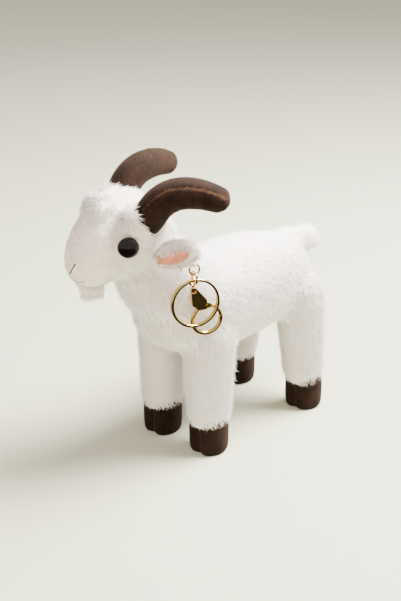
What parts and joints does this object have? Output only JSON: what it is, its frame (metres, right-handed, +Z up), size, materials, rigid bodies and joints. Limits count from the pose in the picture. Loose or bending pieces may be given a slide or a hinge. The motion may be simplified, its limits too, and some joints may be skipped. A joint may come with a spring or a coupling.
{
  "type": "plush goat bag charm",
  "caption": "Standing white plush goat with brown velvet horns and hooves, hung beside its neck on a small chain that carries a split ring and a swivel clasp.",
  "frame": {"origin": "on the floor, under the middle of the outline", "axes": "+Z up, -Y to the goat's front, +X to the goat's left"},
  "size_m": [0.0812, 0.1723, 0.1552],
  "materials": {
    "plush_white": "long soft pile",
    "stuffing": "loose polyester fibre",
    "velvet_brown": "short glossy pile",
    "lining_pink": "short pile",
    "thread_white": "twisted thread",
    "thread_brown": "twisted thread",
    "thread_dark": "twisted thread",
    "eye_black": "high gloss",
    "washer_white": "moulded",
    "gold_plate": "bright pale gold plating",
    "spring_steel": "bare"
  },
  "bodies": {
    "goat": {"body_skin": "plush_white", "body_stuffing": "stuffing", "tail": "plush_white", "front_left_leg_skin": "plush_white", "front_right_leg_skin": "plush_white", "hind_left_leg_skin": "plush_white", "hind_right_leg_skin": "plush_white", "leg_stuffing": "stuffing", "front_left_hoof": "velvet_brown", "front_right_hoof": "velvet_brown", "hind_left_hoof": "velvet_brown", "hind_right_hoof": "velvet_brown", "hoof_stuffing": "stuffing", "hoof_cleft_stitches": "thread_dark", "head_skin": "plush_white", "muzzle_panel": "plush_white", "head_stuffing": "stuffing", "forelock": "plush_white", "beard": "plush_white", "left_horn_skin": "velvet_brown", "right_horn_skin": "velvet_brown", "left_horn_stuffing": "stuffing", "right_horn_stuffing": "stuffing", "left_eye": "eye_black", "right_eye": "eye_black", "left_eye_washer": "washer_white", "right_eye_washer": "washer_white", "nostril_stitches": "thread_brown", "mouth_stitches": "thread_brown", "sewn_loop": "thread_white"},
    "left_ear": {"left_ear_back": "plush_white", "left_ear_lining": "lining_pink"},
    "right_ear": {"right_ear_back": "plush_white", "right_ear_lining": "lining_pink"},
    "anchor_ring": {"anchor_ring": "gold_plate"},
    "oblong_link": {"oblong_link": "gold_plate"},
    "split_ring": {"split_ring": "gold_plate"},
    "clasp_swivel": {"clasp_swivel": "gold_plate"},
    "clasp": {"clasp_body": "gold_plate", "gate_pin": "gold_plate", "gate_spring": "spring_steel"},
    "clasp_gate": {"clasp_gate": "gold_plate"}
  },
  "joints": [
    {"name": "left_ear_flap", "type": "hinge", "parent": "goat", "child": "left_ear", "pos_m": [0.01212, -0.05829, 0.1147], "axis": [0.3598, -0.1393, -0.9226], "range_deg": [-20, 20], "stiffness_Nm_per_rad": 0.004},
    {"name": "right_ear_flap", "type": "hinge", "parent": "goat", "child": "right_ear", "pos_m": [-0.02835, -0.03942, 0.1147], "axis": [0.338, -0.1861, 0.9226], "range_deg": [-20, 20], "stiffness_Nm_per_rad": 0.004},
    {"name": "anchor_ring_swing", "type": "hinge", "parent": "goat", "child": "anchor_ring", "pos_m": [0.02568, -0.0475, 0.1114], "axis": [0.8988, -0.4384, 0], "range_deg": [-35, 35]},
    {"name": "link_swing", "type": "hinge", "parent": "anchor_ring", "child": "oblong_link", "pos_m": [0.02568, -0.0475, 0.10732], "axis": [-0.4384, -0.8988, 0], "range_deg": [0, 60]},
    {"name": "split_ring_swing", "type": "hinge", "parent": "oblong_link", "child": "split_ring", "pos_m": [0.02568, -0.0475, 0.10344], "axis": [0.8988, -0.4384, 0], "range_deg": [-35, 35]},
    {"name": "clasp_swing", "type": "hinge", "parent": "oblong_link", "child": "clasp_swivel", "pos_m": [0.02568, -0.0475, 0.10344], "axis": [0.8988, -0.4384, 0], "range_deg": [-35, 35]},
    {"name": "clasp_turn", "type": "hinge", "parent": "clasp_swivel", "child": "clasp", "pos_m": [0.02393, -0.04664, 0.10016], "axis": [0, 0, 1], "range_deg": [0, 6]},
    {"name": "gate_open", "type": "hinge", "parent": "clasp", "child": "clasp_gate", "pos_m": [0.02706, -0.04021, 0.08976], "axis": [-0.8988, 0.4384, 0], "range_deg": [0, 25], "stiffness_Nm_per_rad": 0.003, "springref_deg": -8.59}
  ]
}
